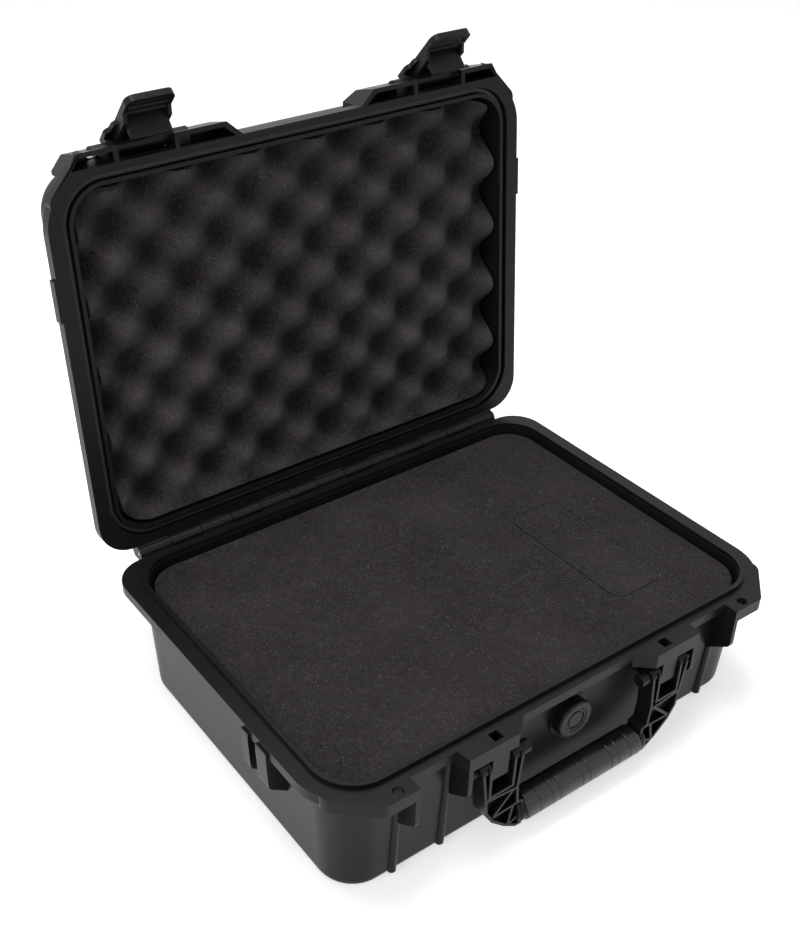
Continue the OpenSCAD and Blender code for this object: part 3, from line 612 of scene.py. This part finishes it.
class CASE_OT_base_foam(CaseOperator, bpy.types.Operator):
    """Lays the three foam layers and the die-cut plug in the base"""
    bl_idname = "case.base_foam"
    bl_label = "Base foam"

    def execute(self, context):
        cuts = [straight_cut(*ends) for ends in (
            ((118, -96), (119, -108)), ((119, -108), (126, -113)),
            ((-142, -75), (-144, -88)), ((-144, -88), (-150, -98)))]
        face_foam = open_cell_foam("foam_face", colours().foam, colours().speck, cuts)
        inner_foam = open_cell_foam("foam_inner", colours().foam, colours().speck)
        edge, corner = sizes().foam_edge, sizes().foam_corner
        plug_corner, gap = sizes().plug_corner, sizes().plug_gap
        plug_low, plug_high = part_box("foam_plug")
        for node in ("foam_floor", "foam_middle"):
            low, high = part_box(node)
            bm = bmesh.new()
            face = rounded_plate(bm, (0, 0), (high - low) / 2, corner, high.z)
            thicken(bm, face, high.z - low.z)
            round_over(bm, edge)
            new_piece(f"{node}_pad", bm, inner_foam, "base",
                                replaces=(node,))
        low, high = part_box("foam_top")
        centre, half = (plug_low + plug_high) / 2, (plug_high - plug_low) / 2
        bm = bmesh.new()
        outer = rounded_plate(bm, (0, 0), (high - low) / 2, corner, high.z)[0]
        inner = rounded_plate(bm, centre, half + Vector((gap, gap, 0)),
                              plug_corner + gap, high.z)[0]
        thicken(bm, plate_ring(bm, outer, inner), high.z - low.z)
        round_over(bm, edge)
        new_piece("foam_top_pad", bm, face_foam, "base",
                            replaces=("foam_top",))
        bm = bmesh.new()
        face = rounded_plate(bm, centre, half, plug_corner, plug_high.z)
        thicken(bm, face, plug_high.z - plug_low.z)
        round_over(bm, 0.3 * edge)
        new_piece("foam_plug_pad", bm, face_foam, "base",
                            replaces=("foam_plug",))
        return {"FINISHED"}


def crate_wave(finish):
    """+1 at the floor of an egg-crate pit and -1 on a crest, from a point of the open lid.
    The pits get their painted shade in full beside the hinge too, where their depth fades."""
    x, y, z = finish.axes()
    back = (y - HINGE.y) * cos(OPEN_ANGLE) - (z - HINGE.z) * sin(OPEN_ANGLE) + HINGE.y
    across = ((x - CRATE_PHASE[0]) * (pi / sizes().crate_pitch_x)).cosine()
    return across * ((back - CRATE_PHASE[1]) * (pi / sizes().crate_pitch_y)).cosine()


class CASE_OT_lid_foam(CaseOperator, bpy.types.Operator):
    """Forms the egg-crate foam of the lid"""
    bl_idname = "case.lid_foam"
    bl_label = "Egg-crate foam"

    def execute(self, context):
        low, high = shut_box("lid_foam")
        half = (high - low) / 2
        corner = sizes().crate_corner
        pitch_x, pitch_y = sizes().crate_pitch_x, sizes().crate_pitch_y
        depth = sizes().crate_depth
        bm = bmesh.new()
        bmesh.ops.create_grid(bm, x_segments=CRATE_GRID[0], y_segments=CRATE_GRID[1], size=1)
        for vert in bm.verts:
            y = vert.co.y * half.y
            over = max(0, abs(y) - (half.y - corner))
            x = vert.co.x * (half.x - corner + sqrt(max(0, corner ** 2 - over ** 2)))
            wave = (cos(pi * (x - CRATE_PHASE[0]) / pitch_x)
                    * cos(pi * (y - CRATE_PHASE[1]) / pitch_y))
            wave = (wave + 1) * min(1, (half.y - y) / sizes().crate_rim) - 1
            vert.co = (x, y, low.z + depth / 2 * (1 + wave))
        rim = [e for e in bm.edges if e.is_boundary]
        for height, inset in ((high.z - 5 * MM, 1), (high.z, 0.965)):   # straight, then in
            made = bmesh.ops.extrude_edge_only(bm, edges=rim)
            verts = [g for g in made["geom"] if isinstance(g, bmesh.types.BMVert)]
            for vert in verts:
                vert.co.z = height
            bmesh.ops.scale(bm, verts=verts, vec=(inset, inset, 1))
            rim = [g for g in made["geom"] if isinstance(g, bmesh.types.BMEdge)]
        bmesh.ops.edgeloop_fill(bm, edges=[e for e in bm.edges if e.is_boundary])
        bmesh.ops.recalc_face_normals(bm, faces=bm.faces)
        round_over(bm, sizes().crate_edge, above=50)
        open_up(bm)
        # the lid foam's colour gets painted shade in its pits from crate_wave
        foam = open_cell_foam("foam_crate", colours().crate, colours().speck,
                              painted_pit_shade=crate_wave)
        new_piece("lid_foam_crate", bm, foam, "lid", smooth=60,
                            replaces=("lid_foam",))
        return {"FINISHED"}


def softbox(name, place, aim, size, power):
    """Rectangular soft lamp that looks at a point."""
    lamp = bpy.data.lights.new(name, "AREA")
    lamp.shape = "RECTANGLE"
    lamp.size, lamp.size_y = size
    lamp.energy = power
    shown = bpy.data.objects.new(name, lamp)
    shown.location = place
    shown.rotation_euler = (Vector(aim) - Vector(place)).to_track_quat("-Z", "Y").to_euler()
    bpy.context.scene.collection.objects.link(shown)


def background_rays(tree):
    """1 on rays from the camera, and on those that a glossy or clear surface sends on."""
    path = tree.nodes.new("ShaderNodeLightPath")
    camera, glossy, through = (Level(tree, path.outputs[f"Is {kind} Ray"])
                               for kind in ("Camera", "Glossy", "Transmission"))
    return camera.highest(glossy).highest(through)


class CASE_OT_studio(CaseOperator, bpy.types.Operator):
    """Sets up the pale floor, the soft lights, the white surround and the camera"""
    bl_idname = "case.studio"
    bl_label = "Studio"

    def execute(self, context):
        scene = context.scene
        scene.view_settings.view_transform = "Standard"
        bm = bmesh.new()
        bmesh.ops.create_grid(bm, x_segments=1, y_segments=1, size=FLOOR_HALF)
        mesh = bpy.data.meshes.new("studio_floor")
        bm.to_mesh(mesh)
        bm.free()
        floor = bpy.data.objects.new("studio_floor", mesh)
        floor.location.z = -FLOOR_DROP
        scene.collection.objects.link(floor)
        finish = Finish("floor_paper", Roughness=0.9, Specular_IOR_Level=0.1)
        finish.put("Base Color", colours().floor)
        finish.put("Emission Color", finish.mix(background_rays(finish.tree), (0, 0, 0),
                                                colours().lift))
        finish.put("Emission Strength", 1.0)
        mesh.materials.append(finish.material)

        world = bpy.data.worlds.new("surround")
        scene.world = world
        world.use_nodes = True
        tree = world.node_tree
        blend = tree.nodes.new("ShaderNodeMixShader")
        plug(tree, background_rays(tree), blend.inputs["Fac"])
        for slot, strength in enumerate((SKY_LIGHT, 1.0), 1):
            sky = tree.nodes.new("ShaderNodeBackground")
            sky.inputs["Strength"].default_value = strength
            sky.inputs["Color"].default_value = (1, 1, 1, 1)
            tree.links.new(sky.outputs[0], blend.inputs[slot])
        tree.links.new(blend.outputs[0], tree.nodes["World Output"].inputs["Surface"])

        softbox("overhead", (-0.1, 0.2, 1.5), (0, 0, 0.1), (1.0, 0.6), 17)
        softbox("left_side", (-1.5, -0.4, 0.8), (0, 0, 0.1), (0.6, 0.9), 8)
        softbox("front_fill", (0.6, -1.6, 0.9), (0, 0, 0.05), (1.2, 0.8), 1)

        camera = bpy.data.cameras.new("camera")
        camera.lens = camera.sensor_width * FOCAL / max(PHOTO)
        camera.shift_x = (PHOTO[0] / 2 - PHOTO_AXIS) / max(PHOTO)
        camera.clip_start = 0.01
        shot = bpy.data.objects.new("camera", camera)
        shot.location = CAMERA_PLACE
        shot.rotation_euler = (pi / 2 - CAMERA_PITCH, 0, -CAMERA_YAW)
        scene.collection.objects.link(shot)
        scene.camera = shot
        return {"FINISHED"}


class CASE_PT_panel(bpy.types.Panel):
    """Lists the pieces of the case"""
    bl_idname = "CASE_PT_panel"
    bl_label = "Microphone case"
    bl_space_type = "VIEW_3D"
    bl_region_type = "UI"
    bl_category = "Case"

    def draw(self, context):
        for step in STEPS:
            self.layout.operator(step.bl_idname)
        for group in (context.scene.case_sizes, context.scene.case_colours):
            box = self.layout.box()
            for name in group.__annotations__:
                box.prop(group, name)


STEPS = (CASE_OT_studio, CASE_OT_base, CASE_OT_lid, CASE_OT_hinge, CASE_OT_latches,
         CASE_OT_handle, CASE_OT_valve, CASE_OT_base_foam, CASE_OT_lid_foam)
CLASSES = (CaseSizes, CaseColours, *STEPS, CASE_PT_panel)


def register():
    for cls in CLASSES:
        bpy.utils.register_class(cls)
    bpy.types.Scene.case_sizes = PointerProperty(type=CaseSizes)
    bpy.types.Scene.case_colours = PointerProperty(type=CaseColours)


def unregister():
    del bpy.types.Scene.case_colours
    del bpy.types.Scene.case_sizes
    for cls in reversed(CLASSES):
        bpy.utils.unregister_class(cls)


def main():
    register()
    for step in STEPS:
        group, name = step.bl_idname.split(".")
        getattr(getattr(bpy.ops, group), name)()


if __name__ == "__main__":
    main()
